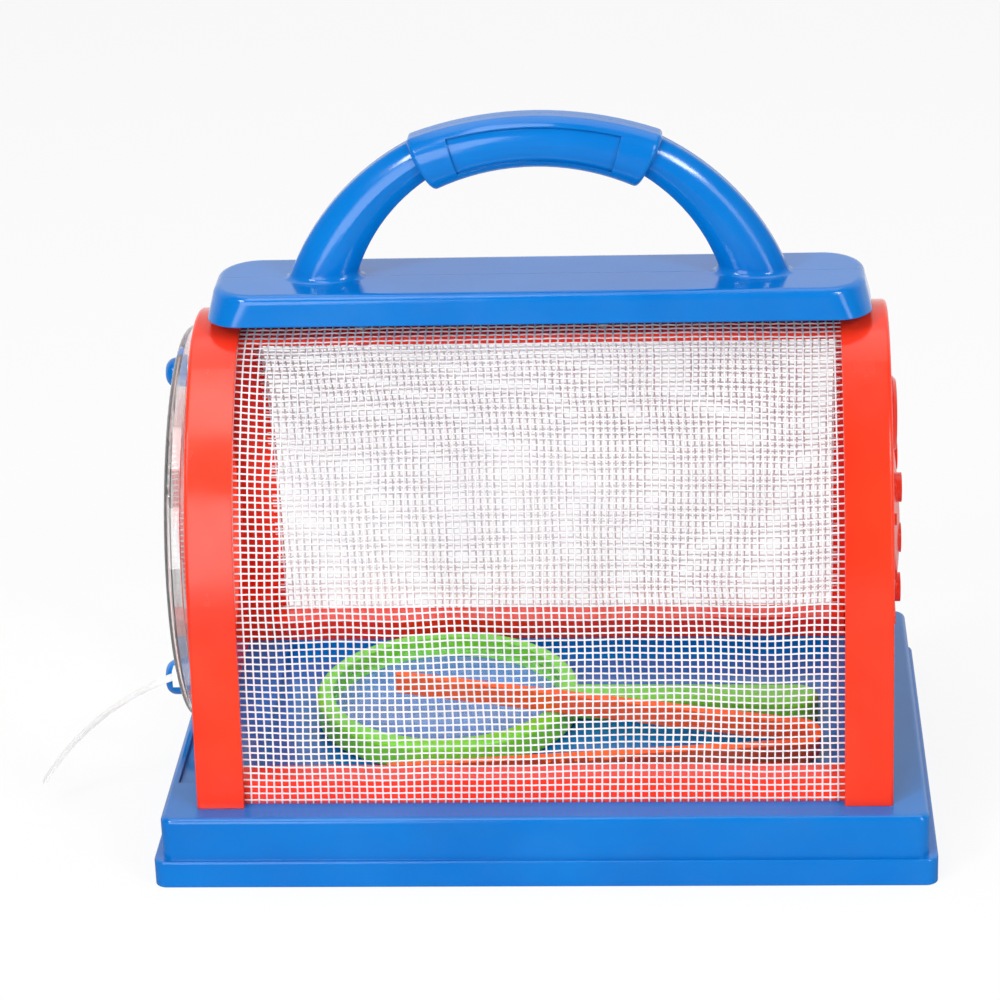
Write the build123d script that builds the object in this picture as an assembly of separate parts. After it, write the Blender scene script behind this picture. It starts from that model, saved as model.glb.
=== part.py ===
from build123d import *
import os
from math import asin, cos, degrees, pi, radians, sin, sqrt, tan

# Bug cage: an arched mesh cage on a tray, with a carry handle and a round clear door.
# Frame in millimetres: X along the cage, door at -X, Y from front to rear, Z up,
# origin at the centre of the tray's underside.

os.makedirs("parts", exist_ok=True)

# Arch of the end frames: straight leaning side, shoulder arc, crown arc
cage_length = 195.6
side_lean = 7.2
side_rise = 59.3
shoulder_radius = 91.0
crown_radius = 34.6
crown_half_angle = 40.0
band_width = 13.5
frame_wall = 2.0
frame_edge_radius = 1.2

# Base tray, with ribs underneath that end flush with the skirt
end_ledge = 9.9
side_ledge = 6.6
tier_inset = 2.4
tier_side_inset = 1.4
skirt_height = 7.9
base_height = 20.7
base_wall = 2.4
base_corner_radius = 3.6
base_edge_radius = 1.6
floor_drop = 3.3
floor_margin = 1.2
rib_thickness = 1.8
cross_rib_count = 5
notch_length = 91.0
notch_width = 7.3
notch_depth = 1.3

# Feet of the end frames and the bosses that they are screwed to
foot_height = 14.0
foot_depth = 10.0
boss_radius = 4.2
boss_lift = 8.0

# Mesh screen, a plain sheet in place of the fine weave
mesh_thickness = 0.8
mesh_tuck = 4.0
seat_play = 0.2

# Sills and ridge strip
sill_height = 6.8
sill_depth = 9.0
sill_wall = 1.8
ridge_half_width = 8.0
ridge_wall = 2.4
cleat_length = 7.0
cleat_half_width = 7.5

# Handle rail, with a keel below it that clamps the mesh on the ridge strip
rail_lift = 2.2
rail_length = 186.4
rail_depth = 34.4
rail_height = 8.8
rail_wall = 2.2
rail_corner_radius = 10.0
rail_end_slope = 2.2
rail_side_slope = 0.5
rail_top_corner_radius = 12.5
rail_edge_radius = 2.4
leg_root_radius = 2.0
keel_half_width = 5.0
keel_wall = 2.2
keel_rest = 4.5
keel_rib_count = 5

# Handle: two offset circles make legs that widen towards the rail, round in section
handle_rise = 48.2
handle_outer_radius = 75.5
handle_inner_radius = 53.7
handle_top_thickness = 10.3
handle_depth = 12.4
handle_rim_depth = 3.2
handle_round_width = 8.6
handle_edge_radius = 1.4

# Hand grip over the top of the handle, with two flatter circles and a sunken panel on each side
grip_rise = 46.9
grip_outer_radius = 102.7
grip_inner_radius = 64.8
grip_thickness = 14.6
grip_depth = 15.2
grip_rim_depth = 6.0
grip_half_width = 39.4
grip_end_angle = 28.0
grip_edge_radius = 1.4
panel_depth = 0.9
panel_margin = 2.4
panel_half_width = 25.8
panel_end_angle = 16.0

# Self-tapping screws
screw_radius = 1.45
screw_head_radius = 2.6
screw_head_height = 1.8
screw_head_edge = 0.9
screw_bite = 8.0
screw_fit = 0.05
pocket_play = 0.3
leg_screw_rise = 10.0
rail_screw_reach = 76.0
rail_boss_radius = 3.0
ridge_screw_reach = 50.0
ridge_screw_inner_reach = 18.0
ridge_screw_spread = 3.6
ridge_screw_bite = 6.0

# Clear door, as large as fits between the base and the crest of the arch
door_lift = 5.0
door_drop = 6.7
door_gap = 0.4
door_face = 2.0
door_lip_depth = 2.5
door_lip_wall = 2.4
door_edge_radius = 1.8
mouth_radius = 45.0
mouth_lift = 10.4

# Door pin, washer, knob and caps
pivot_drop = 10.7
pin_radius = 2.3
pin_fit = 0.08
pin_head_radius = 4.3
pin_head_height = 4.4
pin_dome_radius = 3.0
pin_end_play = 0.3
washer_radius = 4.5
washer_gap = 0.3
cap_radius = 4.4
cap_thickness = 2.6
cap_edge = 0.8
pin_end_reach = 1.0
knob_rise = 6.5
knob_radius = 5.2
knob_head_height = 5.0
knob_dome_radius = 3.0
knob_neck_radius = 3.1
knob_neck_length = 6.4
knob_shank_radius = 2.0
knob_cap_radius = 3.4
knob_cap_thickness = 1.7

# Nylon tie on the knob
tie_width = 2.4
tie_thickness = 1.2
tie_tip_thickness = 0.7
tie_head_width = 4.4
tie_head_height = 5.2
tie_head_depth = 4.0
tie_bend_radius = 69.0
tie_start_angle = 14.0
tie_end_angle = 56.5
tie_heading = 17.0

# Magnifying glass lying on the floor
ring_radius = 39.0
ring_wall = 5.0
glass_thickness = 8.5
ring_edge_radius = 1.6
lens_edge = 2.0
lens_crown = 2.0
lens_groove = 1.2
lens_play = 0.1
lens_flange = 0.6
grip_length = 71.0
grip_neck_half_width = 4.0
grip_tail_half_width = 6.5
glass_x = -31.0
glass_y = 5.0
glass_turn = -3.0

# Tweezers, one arm on the floor and the other on the rim of the magnifying glass
tweezer_length = 120.0
tweezer_spread = 6.5
tweezer_width = 8.0
tweezer_thickness = 2.4
tweezer_tip_thickness = 1.6
tweezer_bend_radius = 5.0
tweezer_x = 79.0
tweezer_y = -24.0
tweezer_turn = 6.0
tweezer_perch = 72.0
tweezer_play = 0.4
finger_rib_start = 44.0
finger_rib_pitch = 4.2
finger_rib_count = 8
finger_rib_width = 1.6
finger_rib_height = 0.7
finger_rib_margin = 1.0

# Raised beetle on the closed end
relief_half_width = 27.0
relief_half_height = 33.0
relief_dome = 4.0
relief_lift = 60.0
relief_groove = 1.4
relief_groove_depth = 1.2
relief_head_radius = 11.0
relief_head_height = 2.6
relief_head_edge = 1.0
relief_spot_y = 12.0
relief_spot_radius = 4.2
relief_spot_height = 3.8
relief_row_pitch = 15.5
relief_leg_fan = 24.0
relief_leg_root = 6.0
relief_leg_length = 11.0
relief_leg_width = 3.2
relief_leg_height = 1.4

# Working allowances: cuts run past a face, fused pieces sink in, rounds keep to a share of their wall
cut_past = 1.0
weld = 0.5
slab_share = 0.45
shell_share = 0.9

# Places worked out from the sizes above
join_tolerance = weld / 100
end_face = cage_length / 2
band_inner = end_face - band_width
plate_inner = end_face - frame_wall
lean = radians(side_lean)
turn = radians(crown_half_angle)
spring_half = shoulder_radius * (cos(lean) - sin(turn)) + crown_radius * sin(turn)
spring_z = base_height + side_rise
crown_z = spring_z + shoulder_radius * (cos(turn) - sin(lean)) - crown_radius * cos(turn)
crest_z = crown_z + crown_radius
foot_half = spring_half + side_rise * tan(lean)
base_length = cage_length + 2 * (end_ledge + tier_inset)
base_depth = 2 * (foot_half + side_ledge + tier_side_inset)
floor_z = base_height - floor_drop
mesh_outer = frame_wall + seat_play
mesh_inner = mesh_outer + mesh_thickness
lining_inset = mesh_inner + seat_play
mesh_half_length = band_inner + mesh_tuck
foot_inner = mesh_half_length + seat_play
foot_x = (foot_inner + plate_inner) / 2
foot_y = foot_half - frame_wall - foot_depth / 2 - foot_height * tan(lean) / 2
floor_half_length = band_inner - floor_margin
floor_half_depth = foot_half - lining_inset - sill_depth - floor_margin
rail_bottom = crest_z + rail_lift
rail_top = rail_bottom + rail_height
keel_reach = band_inner + keel_rest
handle_outer_z = rail_top + handle_rise - handle_outer_radius
handle_inner_z = rail_top + handle_rise - handle_top_thickness - handle_inner_radius
grip_top = rail_top + grip_rise
grip_outer_z = grip_top - grip_outer_radius
grip_inner_z = grip_top - grip_thickness - grip_inner_radius
mouth_z = base_height + mouth_lift + mouth_radius
door_radius = (crest_z - door_drop - base_height - door_lift) / 2
door_z = base_height + door_lift + door_radius
pivot_z = door_z + door_radius - pivot_drop
knob_z = door_z - door_radius + knob_rise
door_lip_x = -(end_face + door_gap)
door_inside_x = door_lip_x - door_lip_depth
door_outside_x = door_inside_x - door_face
big = 4 * (base_length + base_depth + crest_z)


# Helpers

def slab_round(radius, *thicknesses):
    """Radius that still fits when both sides of each thickness are rounded."""
    return min([radius] + [slab_share * thickness for thickness in thicknesses])


def shell_round(radius, *thicknesses):
    """Radius that still fits when one side of each thickness is rounded."""
    return min([radius] + [shell_share * thickness for thickness in thicknesses])


def arch_face(inset, foot_z):
    """Filled arch in the YZ plane, drawn in from the end frame's outline."""
    crown = crown_radius - inset
    shoulder = shoulder_radius - inset
    offset = crown_radius - shoulder_radius
    centre_y = offset * sin(turn)
    centre_z = crown_z + offset * cos(turn)

    def on_shoulder(angle):
        return centre_y + shoulder * cos(angle), centre_z + shoulder * sin(angle)

    spring_y, spring = on_shoulder(lean)
    middle_y, middle = on_shoulder((lean + pi / 2 - turn) / 2)
    joint_y, joint = on_shoulder(pi / 2 - turn)
    toe_y = spring_y + (spring - foot_z) * tan(lean)
    outline = [
        Line((0, -toe_y, foot_z), (0, -spring_y, spring)),
        ThreePointArc((0, -spring_y, spring), (0, -middle_y, middle), (0, -joint_y, joint)),
        ThreePointArc((0, -joint_y, joint), (0, 0, crown_z + crown), (0, joint_y, joint)),
        ThreePointArc((0, joint_y, joint), (0, middle_y, middle), (0, spring_y, spring)),
        Line((0, spring_y, spring), (0, toe_y, foot_z)),
        Line((0, toe_y, foot_z), (0, -toe_y, foot_z)),
    ]
    return Face(Wire(outline))


def arch_solid(inset, x_from, x_to, foot_z=base_height):
    return extrude(Pos(x_from, 0, 0) * arch_face(inset, foot_z), amount=x_to - x_from, dir=(1, 0, 0))


def arch_shell(outer, inner, x_from, x_to, foot_z=base_height):
    return arch_solid(outer, x_from, x_to, foot_z) - arch_solid(inner, x_from, x_to, foot_z - cut_past)


def block(x_from, x_to, y_from, y_to, z_from, z_to):
    size = (x_to - x_from, y_to - y_from, z_to - z_from)
    centre = ((x_from + x_to) / 2, (y_from + y_to) / 2, (z_from + z_to) / 2)
    return Pos(*centre) * Box(*size)


def rod_x(x_from, x_to, y, z, radius):
    """Round bar along X."""
    return extrude(Plane.YZ.offset(x_from) * Pos(y, z) * Circle(radius), amount=x_to - x_from)


def rod_y(y_from, y_to, x, z, radius):
    """Round bar along Y."""
    return extrude(Plane.XZ.offset(-y_from) * Pos(x, z) * Circle(radius), amount=y_from - y_to)


def rod_z(z_from, z_to, x, y, radius):
    """Round bar along Z."""
    return extrude(Plane.XY.offset(z_from) * Pos(x, y) * Circle(radius), amount=z_to - z_from)


def four_corners(x, y):
    return [(sx * x, sy * y) for sx in (-1, 1) for sy in (-1, 1)]


def screw(length):
    """Pan-head screw, head down, the head's bearing face at the origin and the shank along +Z."""
    head = rod_z(-screw_head_height, 0, 0, 0, screw_head_radius)
    head = chamfer(head.edges().group_by(Axis.Z)[0], shell_round(screw_head_edge, screw_head_height))
    return head + rod_z(0, length, 0, 0, screw_radius)


def rounded_slab(length, depth, radius, z_from, z_to):
    return extrude(Plane.XY.offset(z_from) * RectangleRounded(length, depth, radius), amount=z_to - z_from)


# Base tray

def tray_shell():
    """Two stepped tiers, hollow underneath, with a sunken floor on top."""
    top_length = base_length - 2 * tier_inset
    top_depth = base_depth - 2 * tier_side_inset
    skirt = rounded_slab(base_length, base_depth, base_corner_radius, 0, skirt_height)
    skirt_round = slab_round(base_edge_radius, tier_inset, tier_side_inset)
    skirt = fillet(skirt.edges().group_by(Axis.Z)[-1], skirt_round)
    tier = rounded_slab(top_length, top_depth, base_corner_radius, 0, base_height)
    tier = fillet(tier.edges().group_by(Axis.Z)[-1], shell_round(base_edge_radius, base_wall))
    inner_radius = max(base_corner_radius - base_wall, base_wall / 2)
    hollow = rounded_slab(top_length - 2 * base_wall, top_depth - 2 * base_wall, inner_radius,
                          -cut_past, base_height - base_wall)
    tub = block(-floor_half_length - base_wall, floor_half_length + base_wall,
                -floor_half_depth - base_wall, floor_half_depth + base_wall,
                floor_z - base_wall, base_height)
    well = block(-floor_half_length, floor_half_length, -floor_half_depth, floor_half_depth,
                 floor_z, base_height + cut_past)
    return skirt + tier - (hollow - tub) - well


def tray_ribs():
    """Cross ribs and one long rib under the floor."""
    half_length = base_length / 2 - tier_inset - base_wall + weld
    half_depth = base_depth / 2 - tier_side_inset - base_wall + weld
    half_rib = rib_thickness / 2
    top = floor_z - base_wall + weld
    ribs = block(-half_length, half_length, -half_rib, half_rib, 0, top)
    bay = 2 * floor_half_length / (cross_rib_count + 1)
    for index in range(cross_rib_count):
        rib_x = bay * (index + 1) - floor_half_length
        ribs += block(rib_x - half_rib, rib_x + half_rib, -half_depth, half_depth, 0, top)
    return ribs


def base_tray():
    tray = tray_shell() + tray_ribs()
    for x, y in four_corners(foot_x, foot_y):
        tray += rod_z(boss_lift, base_height - base_wall + weld, x, y, boss_radius)
    for x, y in four_corners(foot_x, foot_y):
        tray -= rod_z(0, base_height + cut_past, x, y, screw_radius + screw_fit)
    tray -= block(-end_face - notch_width, -end_face, -notch_length / 2, notch_length / 2,
                  base_height - notch_depth, base_height + cut_past)
    return tray


def base_screws():
    length = base_height - boss_lift + screw_bite
    return [Pos(x, y, boss_lift) * screw(length) for x, y in four_corners(foot_x, foot_y)]


# End frames

def frame_feet():
    """Blocks in the lower corners of the frame that take the base screws."""
    feet = arch_solid(frame_wall / 2, foot_inner, plate_inner + frame_wall / 2)
    feet &= block(0, end_face, -foot_half, foot_half, base_height, base_height + foot_height)
    between = foot_half - frame_wall - foot_depth - foot_height * tan(lean) / 2
    return feet - block(0, end_face, -between, between, 0, crest_z)


def frame_cleat():
    """Curved shelf on the plate that carries the end of the ridge strip."""
    top = lining_inset + ridge_wall + seat_play
    cleat = arch_shell(top, top + frame_wall, plate_inner - cleat_length, plate_inner + frame_wall / 2)
    return cleat & block(0, end_face, -cleat_half_width, cleat_half_width, crown_z, crest_z)


def plain_end_frame():
    """Arched plate with a band turned inward, at the +X end."""
    frame = arch_solid(0, band_inner, end_face)
    outer_edges = frame.faces().sort_by(Axis.X)[-1].edges()
    rim = [edge for edge in outer_edges if edge.center().Z > base_height + seat_play]
    frame = fillet(rim, shell_round(frame_edge_radius, frame_wall))
    frame -= arch_solid(frame_wall, band_inner - cut_past, plate_inner, base_height - cut_past)
    frame += frame_feet()
    frame += frame_cleat()
    hole_top = base_height + screw_bite + pocket_play
    for y in (-foot_y, foot_y):
        frame -= rod_z(base_height - cut_past, hole_top, foot_x, y, screw_radius + screw_fit)
    return frame


def door_end_frame():
    frame = mirror(plain_end_frame(), Plane.YZ)
    outside = -end_face - cut_past
    inside = -plate_inner + cut_past
    frame -= rod_x(outside, inside, 0, mouth_z, mouth_radius)
    frame -= rod_x(outside, inside, 0, pivot_z, pin_radius + pin_fit)
    return frame


def relief_leg(row, side):
    """Bar that fans out from the edge of the wing cases, drawn about the beetle's centre."""
    root = relief_half_width - relief_leg_root
    leg = block(plate_inner, end_face + relief_leg_height, root, root + relief_leg_root + relief_leg_length,
                -relief_leg_width / 2, relief_leg_width / 2)
    leg = Rot(X=row * relief_leg_fan) * leg
    return mirror(leg, Plane.XZ) if side < 0 else leg


def beetle_relief():
    """Low raised beetle: domed wing cases with a centre groove, head, spots and legs."""
    centre_z = base_height + relief_lift
    ball_radius = (relief_half_height ** 2 + relief_dome ** 2) / (2 * relief_dome)
    oval = Pos(0, centre_z) * Ellipse(relief_half_width, relief_half_height)
    relief = extrude(Plane.YZ.offset(plate_inner) * oval, amount=frame_wall + relief_dome)
    relief &= Pos(end_face + relief_dome - ball_radius, 0, centre_z) * Sphere(ball_radius)
    relief -= block(end_face + relief_dome - relief_groove_depth, end_face + relief_dome + cut_past,
                    -relief_groove / 2, relief_groove / 2, 0, crest_z)
    head = rod_x(plate_inner, end_face + relief_head_height, 0,
                 centre_z + relief_half_height, relief_head_radius)
    relief += chamfer(head.edges().group_by(Axis.X)[-1], shell_round(relief_head_edge, relief_head_height))
    for side in (-1, 1):
        for row in (-1, 0, 1):
            relief += rod_x(plate_inner, end_face + relief_spot_height, side * relief_spot_y,
                            centre_z + row * relief_row_pitch, relief_spot_radius)
            relief += Pos(0, 0, centre_z) * relief_leg(row, side)
    return relief


def relief_end_frame():
    return plain_end_frame() + beetle_relief()


# Sills, ridge strip and mesh

def sill_pair():
    """Two channels, open below, that hold the lower edges of the mesh against the frames' feet."""
    reach = foot_inner - seat_play
    rails = arch_shell(lining_inset, lining_inset + sill_depth, -reach, reach)
    rails &= block(-big, big, -big, big, base_height, base_height + sill_height)
    channel = arch_shell(lining_inset + sill_wall, lining_inset + sill_depth - sill_wall,
                         -reach - cut_past, reach + cut_past, base_height - cut_past)
    channel &= block(-big, big, -big, big, 0, base_height + sill_height - sill_wall)
    return rails - channel


def front_sill():
    return sill_pair() & block(-big, big, -big, 0, 0, big)


def rear_sill():
    return sill_pair() & block(-big, big, 0, big, 0, big)


def ridge_screw_places():
    """X and Y of the ridge screws, two in each half of the handle and none beside another."""
    y = ridge_screw_spread
    return [(-ridge_screw_reach, -y), (-ridge_screw_inner_reach, y),
            (ridge_screw_inner_reach, -y), (ridge_screw_reach, y)]


def ridge_strip():
    reach = plate_inner - seat_play
    strip = arch_shell(lining_inset, lining_inset + ridge_wall, -reach, reach)
    strip &= block(-big, big, -ridge_half_width, ridge_half_width, crown_z, crest_z)
    for x, y in ridge_screw_places():
        strip -= rod_z(crown_z, crest_z, x, y, screw_radius + screw_fit)
    return strip


def mesh_screen():
    sheet = arch_shell(mesh_outer, mesh_inner, -mesh_half_length, mesh_half_length, base_height + seat_play)
    for x, y in ridge_screw_places():
        sheet -= rod_z(crown_z, crest_z, x, y, screw_radius + pocket_play)
    return sheet


# Handle and its rail

def rounded_ring(rim_radius, far_radius, centre_z, depth, rim_depth, round_width):
    """Ring about the Y direction whose faces curve from a narrow rim to the full depth."""
    inward = 1 if far_radius > rim_radius else -1
    half = depth / 2
    rim = rim_depth / 2
    arc_radius = (round_width ** 2 + (half - rim) ** 2) / (2 * (half - rim))
    sweep = asin(round_width / arc_radius)
    flat = rim_radius + inward * round_width
    way = flat - inward * arc_radius * sin(sweep / 2)
    way_half = half - arc_radius * (1 - cos(sweep / 2))
    outline = [
        Line((rim_radius, -rim), (rim_radius, rim)),
        ThreePointArc((rim_radius, rim), (way, way_half), (flat, half)),
        Line((flat, half), (far_radius, half)),
        Line((far_radius, half), (far_radius, -half)),
        Line((far_radius, -half), (flat, -half)),
        ThreePointArc((flat, -half), (way, -way_half), (rim_radius, -rim)),
    ]
    face = Face(Wire(outline))
    corners = [corner for corner in face.vertices() if abs(corner.X - rim_radius) < weld]
    face = fillet(corners, slab_round(handle_edge_radius, rim_depth))
    return Pos(0, 0, centre_z) * revolve(face, Axis.Y)


def narrowing_wedge(half_width, end_angle):
    """Wedge right through the handle, of a half width at the grip's top, that narrows downward."""
    slope = tan(radians(end_angle))
    spread = half_width + cut_past * slope
    outline = Polyline((0, grip_top - half_width / slope), (spread, grip_top + cut_past),
                       (-spread, grip_top + cut_past), close=True)
    return extrude(Plane.XZ * make_face(outline), amount=big, both=True)


def handle_legs():
    outer = rounded_ring(handle_outer_radius, weld, handle_outer_z,
                         handle_depth, handle_rim_depth, handle_round_width)
    inner = rounded_ring(handle_inner_radius, 2 * handle_outer_radius, handle_inner_z,
                         handle_depth, handle_rim_depth, handle_round_width)
    kept = block(-big, big, -big, big, rail_top - rail_wall + weld, grip_top)
    legs = (outer & kept) & (inner & kept)
    return legs - Pos(0, 0, 2 * weld) * narrowing_wedge(grip_half_width, grip_end_angle)


def grip_core(depth):
    """Body of the hand grip of a given depth, before its ends are cut."""
    rim_depth = grip_rim_depth + depth - grip_depth
    round_width = grip_thickness / 2
    outer = rounded_ring(grip_outer_radius, weld, grip_outer_z, depth, rim_depth, round_width)
    inner = rounded_ring(grip_inner_radius, 2 * grip_outer_radius, grip_inner_z,
                         depth, rim_depth, round_width)
    kept = block(-big, big, -big, big, grip_inner_z, big)
    return (outer & kept) & (inner & kept)


def grip_body():
    """Hand grip, its ends cut at a slant and rounded."""
    grip = grip_core(grip_depth) & narrowing_wedge(grip_half_width, grip_end_angle)
    flats = [face for face in grip.faces() if face.geom_type == GeomType.PLANE]
    ends = [face for face in flats if abs(face.center().Y) < weld]
    rims = [edge for face in ends for edge in face.edges()]
    return fillet(rims, slab_round(grip_edge_radius, grip_rim_depth))


def grip_panels():
    """Cutters for the sunken panel on the front and the rear of the grip."""
    outer = Pos(0, grip_outer_z) * Circle(grip_outer_radius - panel_margin)
    inner = Pos(0, grip_inner_z) * Circle(grip_inner_radius + panel_margin)
    panels = extrude(Plane.XZ * (outer - inner), amount=grip_depth, both=True)
    panels &= narrowing_wedge(panel_half_width, panel_end_angle)
    return panels - grip_core(grip_depth - 2 * panel_depth)


def handle_arch():
    grip = grip_body() - grip_panels()
    return grip.fuse(*handle_legs().solids(), tol=join_tolerance)


def rail_shell():
    """Rail, open below, its ends and sides sloping in towards the top."""
    bottom = RectangleRounded(rail_length, rail_depth, rail_corner_radius)
    top = RectangleRounded(rail_length - 2 * rail_end_slope, rail_depth - 2 * rail_side_slope,
                           rail_top_corner_radius)
    rail = loft([Plane.XY.offset(rail_bottom) * bottom, Plane.XY.offset(rail_top) * top])
    rail = fillet(rail.edges().group_by(Axis.Z)[-1], slab_round(rail_edge_radius, rail_height))
    end_wall = rail_wall + rail_end_slope
    side_wall = rail_wall + rail_side_slope
    return rail - rounded_slab(rail_length - 2 * end_wall, rail_depth - 2 * side_wall,
                               rail_corner_radius - rail_wall, rail_bottom - cut_past, rail_top - rail_wall)


def rail_and_arch():
    """Rail and handle in one, blended where the legs stand on the rail."""
    body = rail_shell() + handle_arch()
    on_top = [edge for edge in body.edges() if abs(edge.center().Z - rail_top) < seat_play]
    roots = [edge for edge in on_top if abs(edge.center().Y) < handle_depth / 2 + weld]
    return fillet([edge for edge in roots if abs(edge.center().X) < handle_outer_radius], leg_root_radius)


def rail_keel():
    """Walls and cross ribs under the rail that press the mesh on the ridge strip and sit on the bands."""
    span_z = (crown_z, rail_top - rail_wall + weld)
    inner = keel_half_width - keel_wall
    keel = block(-keel_reach, keel_reach, -keel_half_width, keel_half_width, *span_z)
    bay = (2 * keel_reach - keel_wall) / (keel_rib_count + 1)
    for index in range(keel_rib_count + 1):
        start = index * bay + keel_wall - keel_reach
        keel -= block(start, start + bay - keel_wall, -inner, inner, *span_z)
    between_bands = band_inner - seat_play
    keel -= arch_solid(mesh_outer - seat_play, -between_bands, between_bands)
    keel -= arch_solid(-seat_play, -big, -between_bands)
    keel -= arch_solid(-seat_play, between_bands, big)
    return keel


def ridge_boss_bottom():
    """Height of the highest mesh under a ridge boss, and the play above it."""
    near_y = max(ridge_screw_spread - rail_boss_radius, 0)
    return crown_z + sqrt((crown_radius - mesh_outer) ** 2 - near_y ** 2) + seat_play


def ridge_screw_top():
    return ridge_boss_bottom() + ridge_screw_bite


def leg_screw_places():
    """Screw axis in X and Z in the middle of each leg, and the Y of the rear surface there."""
    z = rail_top + leg_screw_rise
    outer_x = sqrt(handle_outer_radius ** 2 - (z - handle_outer_z) ** 2)
    inner_x = sqrt(handle_inner_radius ** 2 - (z - handle_inner_z) ** 2)
    return [(side * (outer_x + inner_x) / 2, z, handle_depth / 2) for side in (-1, 1)]


def rail_screw_places():
    """Screw axis in X and Z near each end of the rail, and the Y of the rear surface there."""
    z = rail_top - rail_wall - rail_boss_radius + weld
    return [(side * rail_screw_reach, z, rail_depth / 2 - rail_side_slope) for side in (-1, 1)]


def handle_screw_seat(face):
    return face - screw_head_height - pocket_play


def handle_body():
    """Both halves of the handle in one, with its screw bosses, holes and pockets."""
    body = rail_and_arch() + rail_keel()
    for x, y in ridge_screw_places():
        body += rod_z(ridge_boss_bottom(), rail_top - rail_wall + weld, x, y, rail_boss_radius)
    for x, z, face in rail_screw_places():
        body += rod_y(rail_wall - weld - face, face - rail_wall + weld, x, z, rail_boss_radius)
    for x, y in ridge_screw_places():
        body -= rod_z(crown_z, ridge_screw_top() + pocket_play, x, y, screw_radius + screw_fit)
    for x, z, face in leg_screw_places() + rail_screw_places():
        body -= rod_y(-screw_bite / 2 - pocket_play, face + cut_past, x, z, screw_radius + screw_fit)
        body -= rod_y(handle_screw_seat(face), face + cut_past, x, z, screw_head_radius + pocket_play)
    return body


def handle_front_half():
    return handle_body() & block(-big, big, -big, 0, -big, big)


def handle_rear_half():
    return handle_body() & block(-big, big, 0, big, -big, big)


def handle_screws():
    screws = []
    for x, z, face in leg_screw_places() + rail_screw_places():
        seat = handle_screw_seat(face)
        screws.append(Pos(x, seat, z) * Rot(X=90) * screw(seat + screw_bite / 2))
    return screws


def ridge_screws():
    strip_inside = crown_radius - lining_inset - ridge_wall
    head_z = crown_z + sqrt(strip_inside ** 2 - (ridge_screw_spread + screw_head_radius) ** 2)
    screws = []
    for x, y in ridge_screw_places():
        screws.append(Pos(x, y, head_z) * screw(ridge_screw_top() - head_z))
    return screws


# Door

def clear_door():
    door = rod_x(door_outside_x, door_lip_x, 0, door_z, door_radius)
    rim = door.edges().group_by(Axis.X)[0]
    door = fillet(rim, shell_round(door_edge_radius, door_face))
    door -= rod_x(door_inside_x, door_lip_x + cut_past, 0, door_z, door_radius - door_lip_wall)
    outside = door_outside_x - cut_past
    inside = door_inside_x + cut_past
    door -= rod_x(outside, inside, 0, pivot_z, pin_radius + pin_fit)
    door -= rod_x(outside, inside, 0, knob_z, knob_shank_radius + screw_fit)
    return door


def door_pivot_pin():
    head_x = door_outside_x - pin_end_play
    head = rod_x(head_x - pin_head_height, head_x, 0, pivot_z, pin_head_radius)
    dome = shell_round(pin_dome_radius, pin_head_height, pin_head_radius)
    head = fillet(head.edges().group_by(Axis.X)[0], dome)
    end_x = -plate_inner + cap_thickness + pin_end_reach
    return head + rod_x(head_x, end_x, 0, pivot_z, pin_radius)


def pivot_washer():
    ring = rod_x(door_inside_x + washer_gap, -end_face, 0, pivot_z, washer_radius)
    return ring - rod_x(door_inside_x, -end_face + cut_past, 0, pivot_z, pin_radius + pin_fit)


def pivot_cap():
    inside = -plate_inner + cap_thickness
    cap = rod_x(-plate_inner, inside, 0, pivot_z, cap_radius)
    cap = chamfer(cap.edges().group_by(Axis.X)[-1], shell_round(cap_edge, cap_thickness))
    return cap - rod_x(-plate_inner - cut_past, inside + cut_past, 0, pivot_z, pin_radius + screw_fit)


def door_knob():
    neck_x = door_outside_x - knob_neck_length
    head = rod_x(neck_x - knob_head_height, neck_x, 0, knob_z, knob_radius)
    dome = shell_round(knob_dome_radius, knob_head_height, knob_radius)
    head = fillet(head.edges().group_by(Axis.X)[0], dome)
    neck = rod_x(neck_x, door_outside_x, 0, knob_z, knob_neck_radius)
    shank = rod_x(door_outside_x, door_inside_x + knob_cap_thickness, 0, knob_z, knob_shank_radius)
    return head + neck + shank


def knob_cap():
    end_x = door_inside_x + knob_cap_thickness
    cap = rod_x(door_inside_x, end_x, 0, knob_z, knob_cap_radius)
    return cap - rod_x(door_inside_x - cut_past, end_x + cut_past, 0, knob_z, knob_shank_radius + screw_fit)


def tie_tail():
    """Stiff curved tail, drawn in its own upright plane with its root at the origin."""
    start = radians(tie_start_angle)
    finish = radians(tie_end_angle)

    def at(angle, radius):
        root_x = tie_bend_radius * sin(start)
        root_z = tie_bend_radius * cos(start)
        return radius * sin(angle) - root_x, radius * cos(angle) - root_z

    middle = (start + finish) / 2
    half = tie_thickness / 2
    tip_half = tie_tip_thickness / 2
    mid_half = (half + tip_half) / 2
    outline = [
        ThreePointArc(at(start, tie_bend_radius + half), at(middle, tie_bend_radius + mid_half),
                      at(finish, tie_bend_radius + tip_half)),
        Line(at(finish, tie_bend_radius + tip_half), at(finish, tie_bend_radius - tip_half)),
        ThreePointArc(at(finish, tie_bend_radius - tip_half), at(middle, tie_bend_radius - mid_half),
                      at(start, tie_bend_radius - half)),
        Line(at(start, tie_bend_radius - half), at(start, tie_bend_radius + half)),
    ]
    return extrude(Plane.XZ * Face(Wire(outline)), amount=tie_width / 2, both=True)


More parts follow.
